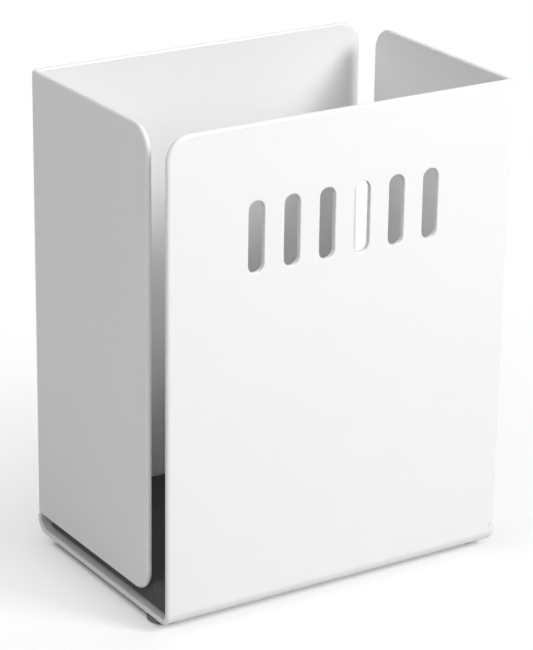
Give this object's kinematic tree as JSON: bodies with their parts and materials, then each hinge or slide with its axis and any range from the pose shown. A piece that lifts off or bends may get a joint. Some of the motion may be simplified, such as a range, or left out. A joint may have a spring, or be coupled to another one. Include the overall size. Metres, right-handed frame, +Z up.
{
  "type": "pen cup",
  "caption": "Upright rectangular pen cup folded from white powder-coated sheet steel, with open corner slits, a slotted front, a dark foam pad inside and rubber feet under its base.",
  "frame": {"origin": "on the desk under the middle of the cup, at the underside of its feet", "axes": "+Z up out of the open top, -Y out of the slotted front, +X to the right as seen from the front"},
  "size_m": [0.0794, 0.0534, 0.1014],
  "materials": {
    "white_powder_coat": "semi-gloss powder coat",
    "charcoal_foam": "matt closed-cell foam",
    "pad_adhesive": "clear double-sided film",
    "grey_rubber": "matt",
    "foot_adhesive": "clear double-sided film"
  },
  "bodies": {
    "root": {"folded_body": "white_powder_coat", "base_pad": "charcoal_foam", "pad_adhesive": "pad_adhesive", "foot_front_left": "grey_rubber", "foot_adhesive_front_left": "foot_adhesive", "foot_front_right": "grey_rubber", "foot_adhesive_front_right": "foot_adhesive", "foot_back_left": "grey_rubber", "foot_adhesive_back_left": "foot_adhesive", "foot_back_right": "grey_rubber", "foot_adhesive_back_right": "foot_adhesive"}
  },
  "joints": []
}
